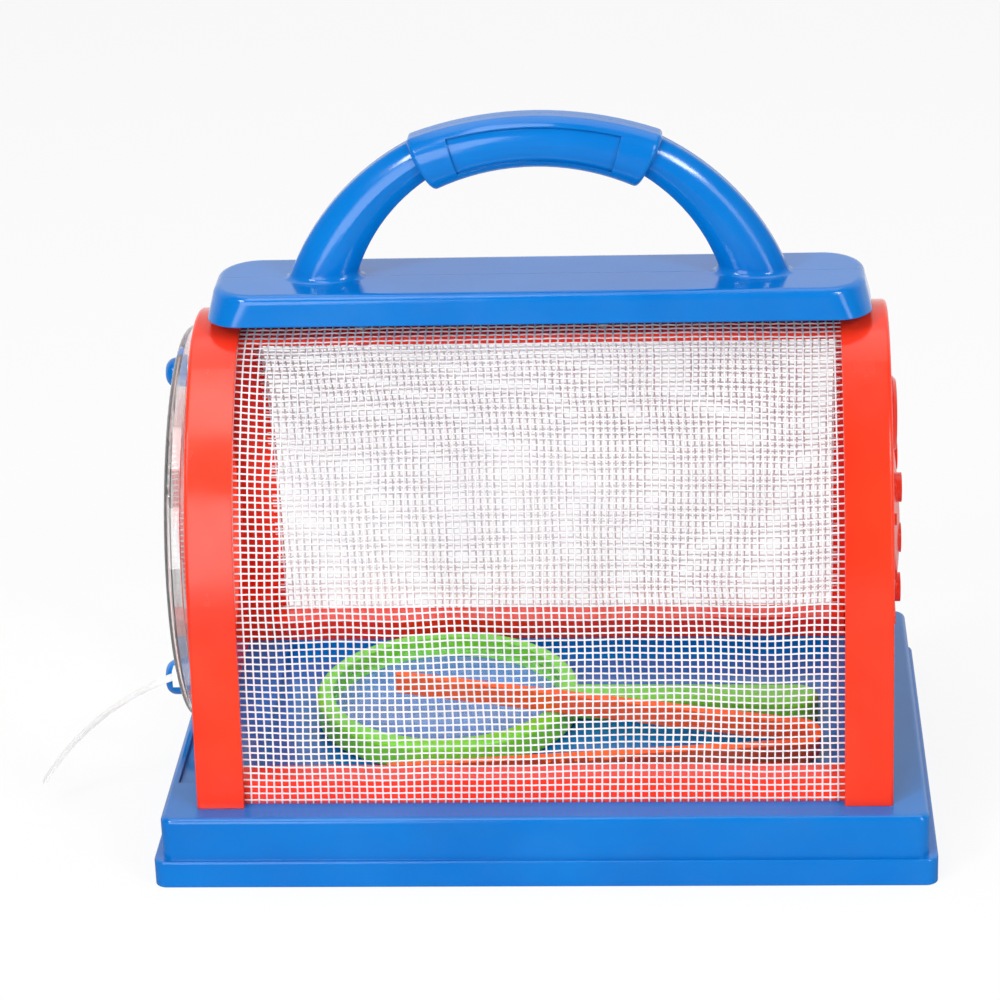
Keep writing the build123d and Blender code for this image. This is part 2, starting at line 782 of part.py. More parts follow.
def nylon_tie():
    """Loop round the knob's neck, head block beside the knob, and the free tail."""
    loop_inner = knob_neck_radius + screw_fit
    loop_outer = loop_inner + tie_thickness
    loop_start = door_outside_x - knob_neck_length + seat_play
    loop_end = loop_start + tie_width
    loop = rod_x(loop_start, loop_end, 0, knob_z, loop_outer)
    loop -= rod_x(loop_start - cut_past, loop_end + cut_past, 0, knob_z, loop_inner)
    head_far = -knob_radius - seat_play
    head_z = knob_z + (loop_inner + loop_outer) / 2
    strap = block(loop_start, loop_end, head_far - seat_play, 0, knob_z + loop_inner, knob_z + loop_outer)
    head = block(loop_end - tie_head_width, loop_end, head_far - tie_head_depth, head_far,
                 head_z - tie_head_height / 2, head_z + tie_head_height / 2)
    tail_place = Pos(loop_end - tie_head_width + seat_play, head_far - tie_head_depth / 2, head_z)
    tail = tail_place * Rot(Z=180 + tie_heading) * tie_tail()
    return loop + strap + head + tail


# Loose tools on the floor

def glass_place():
    return Pos(glass_x, glass_y, floor_z) * Rot(Z=glass_turn)


def magnifier_grip():
    """Flat grip that widens towards its round end."""
    root_x = ring_radius - ring_wall / 2
    end_x = ring_radius + grip_length
    tail_x = end_x - grip_tail_half_width
    outline = [
        Line((root_x, -grip_neck_half_width), (tail_x, -grip_tail_half_width)),
        ThreePointArc((tail_x, -grip_tail_half_width), (end_x, 0), (tail_x, grip_tail_half_width)),
        Line((tail_x, grip_tail_half_width), (root_x, grip_neck_half_width)),
        Line((root_x, grip_neck_half_width), (root_x, -grip_neck_half_width)),
    ]
    grip = extrude(Face(Wire(outline)), amount=glass_thickness)
    top_and_bottom = grip.edges().group_by(Axis.Z)[0] + grip.edges().group_by(Axis.Z)[-1]
    rims = [edge for edge in top_and_bottom if edge.center().X > root_x + weld]
    return fillet(rims, slab_round(ring_edge_radius, glass_thickness, 2 * grip_neck_half_width))


def magnifier_frame():
    inner = ring_radius - ring_wall
    frame = rod_z(0, glass_thickness, 0, 0, ring_radius)
    frame = fillet(frame.edges(), slab_round(ring_edge_radius, glass_thickness, ring_wall))
    frame += magnifier_grip()
    frame -= rod_z(-cut_past, glass_thickness + cut_past, 0, 0, inner)
    half_groove = lens_edge / 2 + lens_play
    frame -= rod_z(glass_thickness / 2 - half_groove, glass_thickness / 2 + half_groove, 0, 0,
                   inner + lens_groove + lens_play)
    return glass_place() * frame


def lens_waypoint(radius, side):
    """A point of the lens face half way out from its axis."""
    ball = (radius ** 2 + lens_crown ** 2) / (2 * lens_crown)
    rise = sqrt(ball ** 2 - (radius / 2) ** 2) - (ball - lens_crown)
    return radius / 2, side * (lens_edge / 2 + rise)


def magnifier_lens():
    dome = ring_radius - ring_wall - lens_flange
    radius = ring_radius - ring_wall + lens_groove
    edge = lens_edge / 2
    top = edge + lens_crown
    outline = [
        Line((0, -top), (0, top)),
        ThreePointArc((0, top), lens_waypoint(dome, 1), (dome, edge)),
        Line((dome, edge), (radius, edge)),
        Line((radius, edge), (radius, -edge)),
        Line((radius, -edge), (dome, -edge)),
        ThreePointArc((dome, -edge), lens_waypoint(dome, -1), (0, -top)),
    ]
    lens = revolve(Plane.XZ * Face(Wire(outline)), Axis.Z)
    return glass_place() * Pos(0, 0, glass_thickness / 2) * lens


def tweezer_outline():
    """Plan of the tweezers: a round bend at the origin and two tapering arms towards -X."""
    spread = radians(tweezer_spread)
    inner = tweezer_bend_radius - tweezer_thickness

    def arm(side):
        normal = Vector(sin(spread), side * cos(spread))
        along = Vector(-cos(spread), side * sin(spread))
        root_out = normal * tweezer_bend_radius
        tip_out = root_out + along * tweezer_length
        return root_out, tip_out, tip_out - normal * tweezer_tip_thickness, normal * inner

    upper = arm(1)
    lower = arm(-1)
    outline = [
        Line(upper[0], upper[1]),
        Line(upper[1], upper[2]),
        Line(upper[2], upper[3]),
        ThreePointArc(upper[3], (inner, 0), lower[3]),
        Line(lower[3], lower[2]),
        Line(lower[2], lower[1]),
        Line(lower[1], lower[0]),
        ThreePointArc(lower[0], (tweezer_bend_radius, 0), upper[0]),
    ]
    return Face(Wire(outline))


def finger_ribs(side):
    """Row of low ribs across the outside of one arm."""
    ribs = []
    for index in range(finger_rib_count):
        far_x = -finger_rib_start - index * finger_rib_pitch
        rib = block(far_x - finger_rib_width, far_x, tweezer_bend_radius - weld,
                    tweezer_bend_radius + finger_rib_height, finger_rib_margin,
                    tweezer_width - finger_rib_margin)
        rib = Rot(Z=-tweezer_spread) * rib
        ribs.append(mirror(rib, Plane.XZ) if side < 0 else rib)
    return ribs


def tweezers():
    """The flat tweezers turned so the front arm lies along -X, then rolled on its lower edge."""
    opening = radians(2 * tweezer_spread)
    reach = 2 * tweezer_bend_radius - tweezer_thickness + tweezer_perch * sin(opening)
    roll = degrees(asin((glass_thickness + tweezer_play) / reach))
    body = extrude(tweezer_outline(), amount=tweezer_width)
    body += finger_ribs(1) + finger_ribs(-1)
    body = Pos(0, tweezer_bend_radius, 0) * Rot(Z=-tweezer_spread) * body
    place = Pos(tweezer_x - tweezer_bend_radius, tweezer_y - tweezer_bend_radius, floor_z)
    return place * Rot(Z=tweezer_turn) * Rot(X=roll) * body


# Write every piece to its own file

pieces = {
    "base_tray": base_tray,
    "base_screws": base_screws,
    "door_end_frame": door_end_frame,
    "relief_end_frame": relief_end_frame,
    "front_sill": front_sill,
    "rear_sill": rear_sill,
    "ridge_strip": ridge_strip,
    "ridge_screws": ridge_screws,
    "mesh_screen": mesh_screen,
    "handle_front_half": handle_front_half,
    "handle_rear_half": handle_rear_half,
    "handle_screws": handle_screws,
    "clear_door": clear_door,
    "door_pivot_pin": door_pivot_pin,
    "pivot_washer": pivot_washer,
    "pivot_cap": pivot_cap,
    "door_knob": door_knob,
    "knob_cap": knob_cap,
    "nylon_tie": nylon_tie,
    "magnifier_frame": magnifier_frame,
    "magnifier_lens": magnifier_lens,
    "tweezers": tweezers,
}

for name, make in pieces.items():
    shape = make()
    if isinstance(shape, list):
        shape = Compound(children=shape)
    export_step(shape, f"parts/{name}.step")
    print(name)
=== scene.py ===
import bpy
import bmesh
from math import sin, cos, exp, pi, radians
from mathutils import Vector, Matrix, noise


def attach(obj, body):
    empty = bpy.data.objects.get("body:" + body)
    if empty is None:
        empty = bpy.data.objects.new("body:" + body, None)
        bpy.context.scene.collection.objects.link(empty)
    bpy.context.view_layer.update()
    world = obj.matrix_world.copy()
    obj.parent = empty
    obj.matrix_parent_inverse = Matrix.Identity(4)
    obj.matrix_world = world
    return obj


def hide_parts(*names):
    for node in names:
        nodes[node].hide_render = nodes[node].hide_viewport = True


# Bug cage: arched mesh cage on a tray, with a carry handle and a clear swing door
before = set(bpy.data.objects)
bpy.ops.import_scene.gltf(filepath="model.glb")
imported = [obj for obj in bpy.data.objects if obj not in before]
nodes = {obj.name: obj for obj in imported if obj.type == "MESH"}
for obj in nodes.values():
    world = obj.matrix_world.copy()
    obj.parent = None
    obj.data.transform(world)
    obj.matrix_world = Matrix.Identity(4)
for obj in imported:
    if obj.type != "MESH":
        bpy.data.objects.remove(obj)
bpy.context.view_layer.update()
mm = 0.001
print("frame loaded:", len(nodes), "nodes")


def perMm(size):  # texture scale for a pattern that repeats every so many millimetres
    return 1000 / size


def fromHex(code):  # sRGB hex to linear colour
    parts = [int(code[i:i + 2], 16) / 255 for i in (1, 3, 5)]
    return [p / 12.92 if p <= 0.04045 else ((p + 0.055) / 1.055) ** 2.4 for p in parts] + [1]


def setInputs(tree, node, inputs):  # a socket is linked, anything else is set
    for name, value in inputs.items():
        if isinstance(value, bpy.types.NodeSocket):
            tree.links.new(value, node.inputs[name])
        else:
            node.inputs[name].default_value = value


def addNode(tree, kind, inputs=None, **settings):
    node = tree.nodes.new(kind)
    for name, value in settings.items():
        setattr(node, name, value)
    setInputs(tree, node, inputs or {})
    return node


def newMaterial(name):
    material = bpy.data.materials.new(name)
    material.use_nodes = True
    tree = material.node_tree
    shader = tree.nodes["Principled BSDF"]
    place = addNode(tree, "ShaderNodeTexCoord").outputs["Object"]
    return material, tree, shader, place


# What all moulded plastics share: where in the noise the marks lie, and how deep the skin's waves are
mould = {
    "flowFrom": 0.3, "flowTo": 0.7, "smearFrom": 0.35, "smearTo": 0.75, "peelDepthMm": 0.1, "edgeSamples": 4,
}


# Moulded plastic: an even colour with faint flow marks, a polished skin with slight orange peel,
# a few smears where hands hold it, and soft edges that catch the light
def mouldedPlastic(name, look):
    material, tree, shader, place = newMaterial(name)
    flow = addNode(tree, "ShaderNodeTexNoise", {"Vector": place, "Scale": perMm(look["flowMm"]), "Detail": 3})
    tint = addNode(tree, "ShaderNodeValToRGB", {"Fac": flow.outputs["Fac"]})
    tint.color_ramp.elements[0].position = mould["flowFrom"]
    tint.color_ramp.elements[0].color = fromHex(look["dark"])
    tint.color_ramp.elements[1].position = mould["flowTo"]
    tint.color_ramp.elements[1].color = fromHex(look["light"])
    smear = addNode(tree, "ShaderNodeTexNoise", {"Vector": place, "Scale": perMm(look["smearMm"]), "Detail": 5})
    gloss = addNode(tree, "ShaderNodeMapRange", {
        "Value": smear.outputs["Fac"], "From Min": mould["smearFrom"], "From Max": mould["smearTo"],
        "To Min": look["gloss"], "To Max": look["smeared"]})
    peel = addNode(tree, "ShaderNodeTexNoise", {"Vector": place, "Scale": perMm(look["peelMm"]), "Detail": 2})
    edge = addNode(tree, "ShaderNodeBevel", {"Radius": look["edgeMm"] * mm}, samples=mould["edgeSamples"])
    skin = addNode(tree, "ShaderNodeBump", {
        "Height": peel.outputs["Fac"], "Strength": look["peel"], "Distance": mould["peelDepthMm"] * mm,
        "Normal": edge.outputs["Normal"]})
    setInputs(tree, shader, {
        "Base Color": tint.outputs["Color"], "Roughness": gloss.outputs["Result"],
        "Normal": skin.outputs["Normal"], "IOR": look["ior"]})
    return material


# ABS from a polished tool: deep blue, bright narrow reflections with sharp borders
blueAbs = mouldedPlastic("abs_moulded_blue", {
    "dark": "#0068BA", "light": "#0272C4", "flowMm": 40, "gloss": 0.09, "smeared": 0.24, "smearMm": 14,
    "peelMm": 1.6, "peel": 0.1, "edgeMm": 0.5, "ior": 1.5})
# Polypropylene, moulded: warm red with a softer shine than the blue
redPolypropylene = mouldedPlastic("polypropylene_moulded_red", {
    "dark": "#EC2812", "light": "#F23A1C", "flowMm": 55, "gloss": 0.16, "smeared": 0.3, "smearMm": 18,
    "peelMm": 2.2, "peel": 0.12, "edgeMm": 0.5, "ior": 1.49})
# The same plastic in leaf green
greenPolypropylene = mouldedPlastic("polypropylene_moulded_green", {
    "dark": "#6AD428", "light": "#82E644", "flowMm": 30, "gloss": 0.2, "smeared": 0.34, "smearMm": 9,
    "peelMm": 1.4, "peel": 0.12, "edgeMm": 0.5, "ior": 1.49})
# and in orange
orangePolypropylene = mouldedPlastic("polypropylene_moulded_orange", {
    "dark": "#FF5C22", "light": "#FF7034", "flowMm": 30, "gloss": 0.22, "smeared": 0.36, "smearMm": 9,
    "peelMm": 1.4, "peel": 0.12, "edgeMm": 0.4, "ior": 1.49})


# Clear plastic, moulded: nearly colourless, bright edges, and faint flow waves that bend what is behind
def clearPlastic(name, look):
    material, tree, shader, place = newMaterial(name)
    wave = addNode(tree, "ShaderNodeTexNoise", {"Vector": place, "Scale": perMm(look["waveMm"]), "Detail": 1})
    bent = addNode(tree, "ShaderNodeBump", {
        "Height": wave.outputs["Fac"], "Strength": look["wave"], "Distance": look["waveDepthMm"] * mm})
    haze = addNode(tree, "ShaderNodeTexNoise", {"Vector": place, "Scale": perMm(look["hazeMm"]), "Detail": 4})
    rough = addNode(tree, "ShaderNodeMapRange", {
        "Value": haze.outputs["Fac"], "From Min": look["hazeFrom"], "From Max": look["hazeTo"],
        "To Min": 0.0, "To Max": look["haze"]})
    setInputs(tree, shader, {
        "Base Color": fromHex(look["tint"]), "Transmission Weight": look["clear"], "IOR": look["ior"],
        "Roughness": rough.outputs["Result"], "Normal": bent.outputs["Normal"]})
    return material


# Polystyrene: glassy, with a strong bend of light at the door's rim
clearStyrene = clearPlastic("polystyrene_moulded_clear", {
    "tint": "#F6F9F9", "clear": 0.95, "ior": 1.58, "waveMm": 14, "wave": 0.1, "waveDepthMm": 1,
    "hazeMm": 22, "haze": 0.06, "hazeFrom": 0.4, "hazeTo": 0.8})
# Acrylic lens: clear, and set to bend light less than acrylic's own 1.49, so no dark patch shows in it
clearAcrylic = clearPlastic("acrylic_moulded_lens", {
    "tint": "#F8FBFA", "clear": 0.97, "ior": 1.18, "waveMm": 30, "wave": 0.02, "waveDepthMm": 1,
    "hazeMm": 15, "haze": 0.03, "hazeFrom": 0.4, "hazeTo": 0.8})


# Vinyl-coated polyester yarn: plain white with a dull shine, faint lumps in the coating,
# and light that glows through it
def coatedYarn(name, look):
    material, tree, shader, place = newMaterial(name)
    lump = addNode(tree, "ShaderNodeTexNoise", {"Vector": place, "Scale": perMm(look["lumpMm"]), "Detail": 2})
    soil = addNode(tree, "ShaderNodeTexNoise", {"Vector": place, "Scale": perMm(look["soilMm"]), "Detail": 4})
    tint = addNode(tree, "ShaderNodeValToRGB", {"Fac": soil.outputs["Fac"]})
    tint.color_ramp.elements[0].position = look["soilFrom"]
    tint.color_ramp.elements[0].color = fromHex(look["dark"])
    tint.color_ramp.elements[1].position = look["soilTo"]
    tint.color_ramp.elements[1].color = fromHex(look["light"])
    skin = addNode(tree, "ShaderNodeBump", {
        "Height": lump.outputs["Fac"], "Strength": look["lump"], "Distance": look["lumpDepthMm"] * mm})
    setInputs(tree, shader, {
        "Base Color": tint.outputs["Color"], "Roughness": look["rough"], "IOR": look["ior"],
        "Normal": skin.outputs["Normal"], "Subsurface Weight": look["milky"],
        "Subsurface Radius": [depth * mm for depth in look["milkyMm"]], "Subsurface Scale": 1.0})
    return material


whiteYarn = coatedYarn("polyester_yarn_vinyl_coated_white", {
    "dark": "#DAD8DC", "light": "#E9E7EB", "soilMm": 28, "soilFrom": 0.35, "soilTo": 0.6,
    "lumpMm": 0.7, "lump": 0.25, "lumpDepthMm": 0.08, "rough": 0.5, "ior": 1.5,
    "milky": 0.35, "milkyMm": (0.8, 0.8, 0.8)})


# Natural nylon, moulded: milky white, waxy shine, light passes into it,
# and a grain drawn coarse enough to show
def naturalNylon(name, look):
    material, tree, shader, place = newMaterial(name)
    cloud = addNode(tree, "ShaderNodeTexNoise", {"Vector": place, "Scale": perMm(look["cloudMm"]), "Detail": 3})
    tint = addNode(tree, "ShaderNodeValToRGB", {"Fac": cloud.outputs["Fac"]})
    tint.color_ramp.elements[0].color = fromHex(look["dark"])
    tint.color_ramp.elements[1].color = fromHex(look["light"])
    grain = addNode(tree, "ShaderNodeTexNoise", {"Vector": place, "Scale": perMm(look["grainMm"])})
    skin = addNode(tree, "ShaderNodeBump", {
        "Height": grain.outputs["Fac"], "Strength": look["grain"], "Distance": look["grainDepthMm"] * mm})
    setInputs(tree, shader, {
        "Base Color": tint.outputs["Color"], "Roughness": look["rough"], "IOR": look["ior"],
        "Normal": skin.outputs["Normal"], "Subsurface Weight": look["milky"],
        "Subsurface Radius": [depth * mm for depth in look["milkyMm"]], "Subsurface Scale": 1.0})
    return material


tieNylon = naturalNylon("nylon_moulded_natural", {
    "dark": "#DEDFDD", "light": "#EBECEA", "cloudMm": 6, "grainMm": 0.5, "grain": 0.1, "grainDepthMm": 0.05,
    "rough": 0.38, "ior": 1.53, "milky": 0.3, "milkyMm": (1.0, 0.9, 0.8)})


# Zinc-plated steel: blue-grey, with a grain in the plating that breaks up its shine,
# drawn coarse enough to show
def platedSteel(name, look):
    material, tree, shader, place = newMaterial(name)
    grain = addNode(tree, "ShaderNodeTexNoise", {"Vector": place, "Scale": perMm(look["grainMm"]), "Detail": 4})
    rough = addNode(tree, "ShaderNodeMapRange", {
        "Value": grain.outputs["Fac"], "To Min": look["bright"], "To Max": look["dull"]})
    skin = addNode(tree, "ShaderNodeBump", {
        "Height": grain.outputs["Fac"], "Strength": look["grain"], "Distance": look["grainDepthMm"] * mm})
    setInputs(tree, shader, {
        "Base Color": fromHex(look["colour"]), "Metallic": 1.0, "Roughness": rough.outputs["Result"],
        "Normal": skin.outputs["Normal"]})
    return material


zincSteel = platedSteel("steel_zinc_plated", {
    "colour": "#C3C6CC", "bright": 0.25, "dull": 0.45, "grainMm": 0.4, "grain": 0.15, "grainDepthMm": 0.03})
print("materials made:", len(bpy.data.materials))


# CAD pieces that keep their shape and get a finish
keptPieces = {
    "base_tray": blueAbs,
    "door_end_frame": redPolypropylene,
    "relief_end_frame": redPolypropylene,
    "front_sill": redPolypropylene,
    "rear_sill": redPolypropylene,
    "ridge_strip": redPolypropylene,
    "handle_front_half": blueAbs,
    "handle_rear_half": blueAbs,
    "clear_door": clearStyrene,
    "door_pivot_pin": blueAbs,
    "pivot_washer": blueAbs,
    "pivot_cap": blueAbs,
    "door_knob": blueAbs,
    "knob_cap": blueAbs,
    "magnifier_frame": greenPolypropylene,
    "magnifier_lens": clearAcrylic,
    "tweezers": orangePolypropylene,
    "nylon_tie": tieNylon,
}
for name, material in keptPieces.items():
    nodes[name].data.materials.clear()
    nodes[name].data.materials.append(material)
for name in ("clear_door", "magnifier_lens"):
    nodes[name].visible_shadow = False  # light goes through clear plastic
print("finishes set on", len(keptPieces), "CAD pieces")


# Arch that the mesh follows: straight leaning sides, shoulder arcs and a crown arc
arch = {
    "crownZ": 111.8 * mm, "crownRadius": 32.0 * mm, "crownAngle": radians(40),
    "shoulderRadius": 88.4 * mm, "shoulderDrop": 56.4 * mm, "sideLean": radians(7.2), "footZ": 20.95 * mm,
}


def archCentre():  # centre of the rear shoulder arc
    drop = arch["shoulderDrop"]
    return -drop * sin(arch["crownAngle"]), arch["crownZ"] - drop * cos(arch["crownAngle"])


def archRuns():  # lengths of half the crown, of one shoulder and of one side
    crown = arch["crownRadius"] * arch["crownAngle"]
    shoulder = arch["shoulderRadius"] * (pi / 2 - arch["crownAngle"] - arch["sideLean"])
    springZ = archCentre()[1] + arch["shoulderRadius"] * sin(arch["sideLean"])
    side = (springZ - arch["footZ"]) / cos(arch["sideLean"])
    return crown, shoulder, side


def archPoint(along):  # place and outward direction, at a length from the crest, front negative
    crown, shoulder = archRuns()[:2]
    hand = -1 if along < 0 else 1
    run = abs(along)
    straight = max(run - crown - shoulder, 0)
    if run <= crown:
        angle = pi / 2 - run / arch["crownRadius"]
        y, z, radius = 0, arch["crownZ"], arch["crownRadius"]
    else:
        angle = max(pi / 2 - arch["crownAngle"] - (run - crown) / arch["shoulderRadius"], arch["sideLean"])
        (y, z), radius = archCentre(), arch["shoulderRadius"]
    out = Vector((0, hand * cos(angle), sin(angle)))
    y += radius * cos(angle) + straight * sin(arch["sideLean"])
    z += radius * sin(angle) - straight * cos(arch["sideLean"])
    return Vector((0, hand * y, z)), out


# Woven screen: every thread is a thin tube that goes over and under those that cross it
screen = {
    "halfLength": 86.4 * mm, "warpPitch": 2.2 * mm, "weftPitch": 2.02 * mm,
    "radius": 0.25 * mm, "sides": 6, "crimp": 0.09 * mm,
    "drift": 1.3 * mm, "driftSize": 48 * mm, "driftSeed": 1795817548,
    "ripple": 0.5 * mm, "rippleSize": 17 * mm, "rippleStart": (7.3, 1.9, 4.1),
    "slack": 0.5 * mm, "slackSize": 60 * mm, "slackStart": 3.7,
    "heldEdge": 14 * mm, "heldCrest": 30 * mm,
    "sag": 1.8 * mm, "sagX": 73 * mm, "sagWidth": 14 * mm, "sagRun": 32 * mm, "sagFade": 16 * mm,
}


def cornerSag(x, along):  # rows hang a little where the rail's ends let go of them
    beside = exp(-((abs(x) - screen["sagX"]) / screen["sagWidth"]) ** 2)
    past = max(abs(along) - screen["sagRun"], 0)
    below = exp(-past / screen["sagFade"]) * min(1, abs(along) / screen["sagRun"])
    return screen["sag"] * beside * below * (-1 if along < 0 else 1)


def screenPoint(x, along, rise, halfRun):  # a point of the screen, drifted a little as real cloth is
    toEdge = min(screen["halfLength"] - abs(x), halfRun - abs(along))
    hold = max(min(1, toEdge / screen["heldEdge"]), 0) * min(1, abs(along) / screen["heldCrest"])
    flat = Vector((x, along, 0))
    coarse = noise.noise_vector(flat / screen["driftSize"]) * screen["drift"]
    fine = noise.noise_vector(flat / screen["rippleSize"] + Vector(screen["rippleStart"])) * screen["ripple"]
    shift = (coarse + fine) * hold
    layer = Vector((x, along, screen["slackStart"]))
    slack = noise.noise(layer / screen["slackSize"]) * screen["slack"] * hold
    place, out = archPoint(along + shift.y + cornerSag(x, along))
    return place + Vector((x + shift.x, 0, 0)) + out * (rise + slack), out


def addThread(points, outs, vertices, faces):
    start = len(vertices)
    count = len(points)
    sides = screen["sides"]
    turns = [2 * pi * k / sides for k in range(sides)]
    for i, (point, out) in enumerate(zip(points, outs)):
        ahead = points[min(i + 1, count - 1)] - points[max(i - 1, 0)]
        across = out.cross(ahead).normalized() * screen["radius"]
        vertices += [point + across * cos(t) + out * screen["radius"] * sin(t) for t in turns]
    for i in range(count - 1):
        a = start + sides * i
        for k in range(sides):
            b = (k + 1) % sides
            faces.append((a + k, a + b, a + sides + b, a + sides + k))
    last = start + sides * (count - 1)
    faces.append(tuple(start + k for k in reversed(range(sides))))
    faces.append(tuple(last + k for k in range(sides)))


def wovenScreen():
    halfRun = sum(archRuns())
    warpCount = int(2 * screen["halfLength"] / screen["warpPitch"])
    weftCount = int(2 * halfRun / screen["weftPitch"])
    xs = [(i - (warpCount - 1) / 2) * screen["warpPitch"] for i in range(warpCount)]
    runs = [(j - (weftCount - 1) / 2) * screen["weftPitch"] for j in range(weftCount)]
    vertices = []
    faces = []
    for i, x in enumerate(xs):
        stops = [-halfRun] + runs + [halfRun]
        rises = [0] + [screen["crimp"] * (-1) ** (i + j) for j in range(weftCount)] + [0]
        made = [screenPoint(x, run, rise, halfRun) for run, rise in zip(stops, rises)]
        addThread([m[0] for m in made], [m[1] for m in made], vertices, faces)
    for j, run in enumerate(runs):
        stops = [-screen["halfLength"]] + xs + [screen["halfLength"]]
        rises = [0] + [-screen["crimp"] * (-1) ** (i + j) for i in range(warpCount)] + [0]
        made = [screenPoint(x, run, rise, halfRun) for x, rise in zip(stops, rises)]
        addThread([m[0] for m in made], [m[1] for m in made], vertices, faces)
    mesh = bpy.data.meshes.new("woven_screen")
    mesh.from_pydata(vertices, [], faces)
    mesh.materials.append(whiteYarn)
    mesh.shade_smooth()
    piece = bpy.data.objects.new("woven_screen", mesh)
    bpy.context.scene.collection.objects.link(piece)
    print("screen woven:", warpCount, "by", weftCount, "threads,", len(faces), "faces")
    return piece, (2 * screen["halfLength"], 2 * halfRun)


noise.seed_set(screen["driftSeed"])  # left unset, Blender takes this seed from the clock
screenPiece, screenFlat = wovenScreen()
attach(screenPiece, "cage")
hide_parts("mesh_screen")
screenPiece.visible_shadow = False  # the threads cast no shadow, to keep the inside bright


# Cross-head screws: a rounded head with a tapered cross recess, and a plain shank
screw = {
    "headRadius": 2.6 * mm, "faceRadius": 1.7 * mm, "roundDepth": 0.9 * mm, "headHeight": 1.8 * mm,
    "shankRadius": 1.45 * mm, "crossReach": 1.4 * mm, "crossHalf": 0.38 * mm, "crossDepth": 1.2 * mm,
    "crossTaper": 0.65, "sides": 40, "roundSteps": 5, "sharpAngle": radians(35), "samePoint": 0.001 * mm,
}
screwInward = {"base_screws": (0, 0, 1), "ridge_screws": (0, 0, 1), "handle_screws": (0, -1, 0)}


def solidBoxes(node):  # low and high corner of each separate solid of a CAD piece
    shape = bmesh.new()
    shape.from_mesh(node.data)
    bmesh.ops.remove_doubles(shape, verts=shape.verts, dist=screw["samePoint"])
    left = set(shape.verts)
    boxes = []
    while left:
        group = [left.pop()]
        for vertex in group:
            for edge in vertex.link_edges:
                other = edge.other_vert(vertex)
                if other in left:
                    left.remove(other)
                    group.append(other)
        spots = [node.matrix_world @ vertex.co for vertex in group]
        boxes.append([Vector([pick(spot[k] for spot in spots) for k in range(3)]) for pick in (min, max)])
    shape.free()
    return sorted(boxes, key=lambda box: [round(value / mm) for value in box[0]])


def roundOutline(radius):
    turns = [2 * pi * k / screw["sides"] for k in range(screw["sides"])]
    return [(radius * cos(turn), radius * sin(turn)) for turn in turns]


def crossOutline(share):  # one arm of the cross, turned by quarters
    reach, half = screw["crossReach"] * share, screw["crossHalf"] * share
    corner = [(reach, -half), (reach, half), (half, half)]
    quarters = ((1, 0), (0, 1), (-1, 0), (0, -1))
    return [(a * c - b * s, a * s + b * c) for c, s in quarters for a, b in corner]


def joinRings(shape, first, second):
    count = len(first)
    for k in range(count):
        b = (k + 1) % count
        shape.faces.new((first[k], first[b], second[b], second[k]))


def addScrew(shape, box, inward):
    low, high = box
    middle = (low + high) / 2
    half = abs((high - low).dot(inward)) / 2
    side = inward.orthogonal().normalized()
    other = inward.cross(side)

    def ring(depth, outline):
        start = middle + inward * (depth - half)
        return [shape.verts.new(start + side * a + other * b) for a, b in outline]

    steps = [pi / 2 * k / screw["roundSteps"] for k in range(screw["roundSteps"] + 1)]
    wider = screw["headRadius"] - screw["faceRadius"]
    profile = [(screw["roundDepth"] * (1 - cos(t)), screw["faceRadius"] + wider * sin(t)) for t in steps]
    profile += [(screw["headHeight"], screw["headRadius"]), (screw["headHeight"], screw["shankRadius"]),
                (2 * half, screw["shankRadius"])]
    rings = [ring(depth, roundOutline(radius)) for depth, radius in profile]
    for first, second in zip(rings, rings[1:]):
        joinRings(shape, first, second)
    shape.faces.new(rings[-1])
    mouth, bottom = ring(0, crossOutline(1)), ring(screw["crossDepth"], crossOutline(screw["crossTaper"]))
    joinRings(shape, mouth, bottom)
    shape.faces.new(bottom)
    rims = [edge for loop in (rings[0], mouth) for edge in (
        shape.edges.get((loop[k - 1], loop[k])) for k in range(len(loop)))]
    bmesh.ops.triangle_fill(shape, use_beauty=True, edges=rims)  # the face round the recess


bpy.context.view_layer.update()
for name, inward in screwInward.items():
    shape = bmesh.new()
    boxes = solidBoxes(nodes[name])
    for box in boxes:
        addScrew(shape, box, Vector(inward))
    bmesh.ops.recalc_face_normals(shape, faces=shape.faces)
    mesh = bpy.data.meshes.new("cross_head_" + name)
    shape.to_mesh(mesh)
    shape.free()
    mesh.materials.append(zincSteel)
    mesh.shade_smooth()
    mesh.set_sharp_from_angle(angle=screw["sharpAngle"])
    piece = bpy.data.objects.new("cross_head_" + name, mesh)
    bpy.context.scene.collection.objects.link(piece)
    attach(piece, "cage")
    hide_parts(name)
    print(name, "made:", len(boxes), "screws,", len(mesh.polygons), "faces")


# Floor, background and lights. The Front and Back values say where the room goes from dim to bright:
# metres along the floor, and a share of the full direction for the sky
stage = {
    "floorSize": 8.0, "floorZ": -0.1 * mm, "floor": "#F4F4F4", "floorRough": 0.9, "glow": 0.86,
    "skyLight": 0.32, "fullLight": 1.0, "backGlow": 1.15, "frontGlow": 0.07,
    "floorFront": -0.1, "floorBack": 0.4, "skyFront": -0.1, "skyBack": 0.5, "aimAt": (0, 0, 0.09),
}


# What polished plastic mirrors: a bright backdrop behind, a dim room in front
def mirrored(tree, place, ray, front, back, otherwise):
    depth = addNode(tree, "ShaderNodeSeparateXYZ", {"Vector": place}).outputs["Y"]
    room = addNode(tree, "ShaderNodeMapRange", {
        "Value": depth, "From Min": front, "From Max": back,
        "To Min": stage["frontGlow"], "To Max": stage["backGlow"]})
    return addNode(tree, "ShaderNodeMix", {
        "Factor": ray.outputs["Is Glossy Ray"], "A": otherwise, "B": room.outputs["Result"]}).outputs["Result"]


